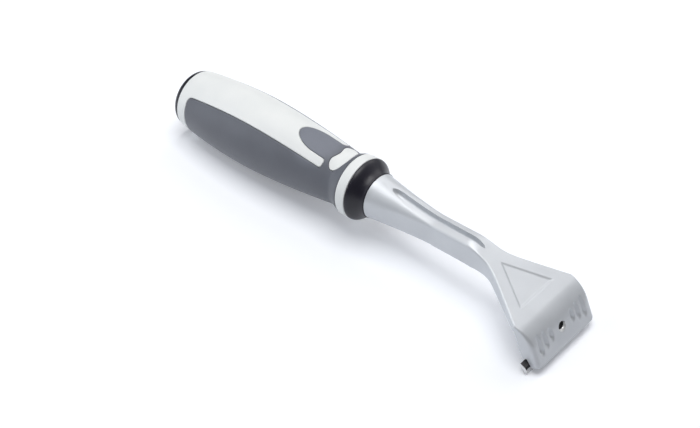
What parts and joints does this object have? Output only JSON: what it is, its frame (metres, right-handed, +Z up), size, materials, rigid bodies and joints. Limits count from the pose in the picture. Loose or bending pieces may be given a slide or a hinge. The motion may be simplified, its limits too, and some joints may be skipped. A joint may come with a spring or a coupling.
{
  "type": "carbide scraper",
  "caption": "Carbide scraper with a two-colour soft-grip handle, a die-cast shank and a turnable cross blade held by a screwed clamp.",
  "frame": {"origin": "middle of the tool's footprint on the ground, as it lies on its blade and its handle's belly", "axes": "+X along the handle towards the blade, +Y to the left of someone who looks along +X, +Z up"},
  "size_m": [0.2488, 0.05, 0.0411],
  "materials": {
    "silver_paint": "satin silver paint on a zinc die casting",
    "white_plastic": "fine matt moulded plastic",
    "grey_rubber": "soft-touch over-moulding",
    "black_plastic": "satin moulded plastic",
    "carbide": "sintered carbide with ground edges",
    "steel": "blackened steel screw and bright clamp plate"
  },
  "bodies": {
    "root": {"cast_body": "silver_paint", "handle_core": "white_plastic", "soft_grip": "grey_rubber", "front_collar": "black_plastic", "end_cap": "black_plastic"},
    "clamp": {"clamp_plate": "steel"},
    "screw": {"clamp_screw": "steel"},
    "blade": {"carbide_blade": "carbide"}
  },
  "joints": [
    {"name": "clamp_slide", "type": "slide", "parent": "root", "child": "clamp", "axis": [-0.7761, 0, -0.6306], "range_m": [0, 0.0028]},
    {"name": "screw_turn", "type": "hinge", "parent": "clamp", "child": "screw", "pos_m": [0.11502, 0, 0.00905], "axis": [-0.7761, 0, -0.6306], "range_deg": [0, 1441]},
    {"name": "blade_slide", "type": "slide", "parent": "root", "child": "blade", "axis": [0, 1, 0], "range_m": [-0.04, 0.04]}
  ],
  "couplings": [
    {"joint": "screw_turn", "follows": "clamp_slide", "rad_per_m": 8976}
  ]
}
